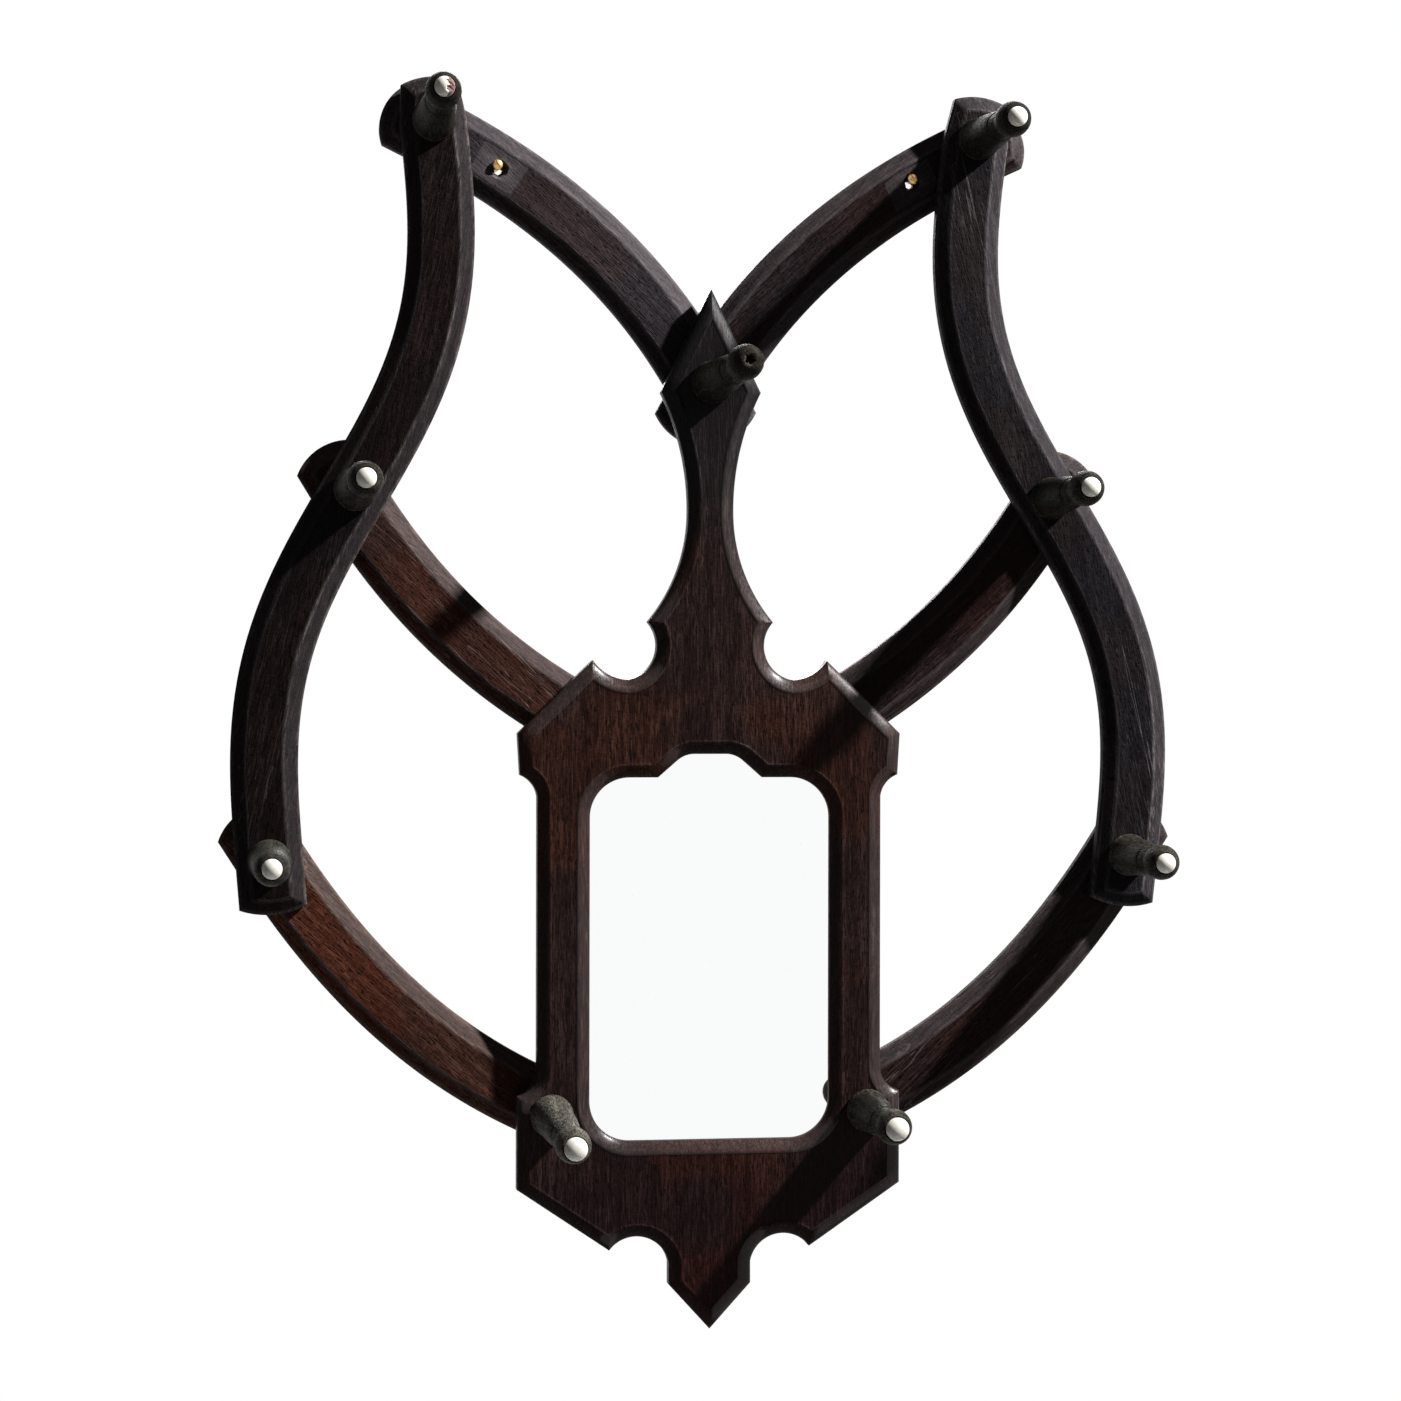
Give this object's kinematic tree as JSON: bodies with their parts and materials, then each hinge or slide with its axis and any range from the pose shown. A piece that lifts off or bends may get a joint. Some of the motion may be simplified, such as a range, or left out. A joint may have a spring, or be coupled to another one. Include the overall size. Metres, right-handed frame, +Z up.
{
  "type": "folding wall rack with mirror",
  "caption": "Folding wooden hat and coat rack for a wall: curved jointed arms with turned, ceramic-tipped pegs round a moulded board with a mirror.",
  "frame": {"origin": "where the axis of the top peg meets the wall", "axes": "+X to the right, +Y into the wall, +Z up"},
  "size_m": [0.4822, 0.1039, 0.6164],
  "materials": {
    "dark_wood": "dark red-brown stain, worn wax, satin",
    "turned_wood": "blackened and rubbed by use",
    "ceramic": "white, glossy",
    "mirror": "silvered plate glass",
    "backing": "plain thin board, unfinished",
    "steel": "dull, slightly rusted",
    "brass": "tarnished"
  },
  "bodies": {
    "centre": {"mirror_frame": "dark_wood", "mirror_glass": "mirror", "mirror_backing": "backing", "top_peg": "turned_wood", "top_washer": "steel", "top_screw": "steel", "left_foot_peg": "turned_wood", "left_foot_tip": "ceramic", "left_foot_washer": "steel", "left_foot_screw": "steel", "left_hidden_screw": "steel", "left_upper_sprig": "steel", "left_lower_sprig": "steel", "right_foot_peg": "turned_wood", "right_foot_tip": "ceramic", "right_foot_washer": "steel", "right_foot_screw": "steel", "right_hidden_screw": "steel", "right_upper_sprig": "steel", "right_lower_sprig": "steel", "right_foot_spacer": "dark_wood", "right_hidden_spacer": "dark_wood"},
    "left_upper": {"left_upper_link": "dark_wood", "left_wall_screw": "brass"},
    "left_middle": {"left_middle_link": "dark_wood"},
    "left_lower": {"left_lower_link": "dark_wood"},
    "left_outer": {"left_outer_arm": "dark_wood", "left_upper_peg": "turned_wood", "left_upper_tip": "ceramic", "left_upper_washer": "steel", "left_upper_screw": "steel", "left_middle_peg": "turned_wood", "left_middle_tip": "ceramic", "left_middle_washer": "steel", "left_middle_screw": "steel", "left_lower_peg": "turned_wood", "left_lower_tip": "ceramic", "left_lower_washer": "steel", "left_lower_screw": "steel"},
    "right_upper": {"right_upper_link": "dark_wood", "right_wall_screw": "brass"},
    "right_middle": {"right_middle_link": "dark_wood"},
    "right_lower": {"right_lower_link": "dark_wood"},
    "right_outer": {"right_outer_arm": "dark_wood", "right_upper_peg": "turned_wood", "right_upper_tip": "ceramic", "right_upper_washer": "steel", "right_upper_screw": "steel", "right_middle_peg": "turned_wood", "right_middle_tip": "ceramic", "right_middle_washer": "steel", "right_middle_screw": "steel", "right_lower_peg": "turned_wood", "right_lower_tip": "ceramic", "right_lower_washer": "steel", "right_lower_screw": "steel"}
  },
  "joints": [
    {"name": "left_fold", "type": "hinge", "parent": "centre", "child": "left_upper", "pos_m": [0, 0, 0], "axis": [0, 1, 0], "range_deg": [-85, 20]},
    {"name": "left_middle_pivot", "type": "hinge", "parent": "centre", "child": "left_middle", "pos_m": [-0.0378, 0, -0.1805], "axis": [0, 1, 0], "range_deg": [-86, 21]},
    {"name": "left_lower_pivot", "type": "hinge", "parent": "centre", "child": "left_lower", "pos_m": [-0.079, 0, -0.361], "axis": [0, 1, 0], "range_deg": [-86, 21]},
    {"name": "left_outer_pivot", "type": "hinge", "parent": "left_upper", "child": "left_outer", "pos_m": [-0.1374, 0, 0.1258], "axis": [0, 1, 0], "range_deg": [-21, 86]},
    {"name": "right_fold", "type": "hinge", "parent": "centre", "child": "right_upper", "pos_m": [0, 0, 0], "axis": [0, -1, 0], "range_deg": [-85, 20]},
    {"name": "right_middle_pivot", "type": "hinge", "parent": "centre", "child": "right_middle", "pos_m": [0.0378, 0, -0.1805], "axis": [0, -1, 0], "range_deg": [-86, 21]},
    {"name": "right_lower_pivot", "type": "hinge", "parent": "centre", "child": "right_lower", "pos_m": [0.079, 0, -0.361], "axis": [0, -1, 0], "range_deg": [-86, 21]},
    {"name": "right_outer_pivot", "type": "hinge", "parent": "right_upper", "child": "right_outer", "pos_m": [0.1374, 0, 0.1258], "axis": [0, -1, 0], "range_deg": [-21, 86]}
  ],
  "couplings": [
    {"joint": "left_middle_pivot", "follows": "left_fold", "ratio": 1},
    {"joint": "left_lower_pivot", "follows": "left_fold", "ratio": 1},
    {"joint": "left_outer_pivot", "follows": "left_fold", "ratio": -1},
    {"joint": "right_middle_pivot", "follows": "right_fold", "ratio": 1},
    {"joint": "right_lower_pivot", "follows": "right_fold", "ratio": 1},
    {"joint": "right_outer_pivot", "follows": "right_fold", "ratio": -1}
  ]
}
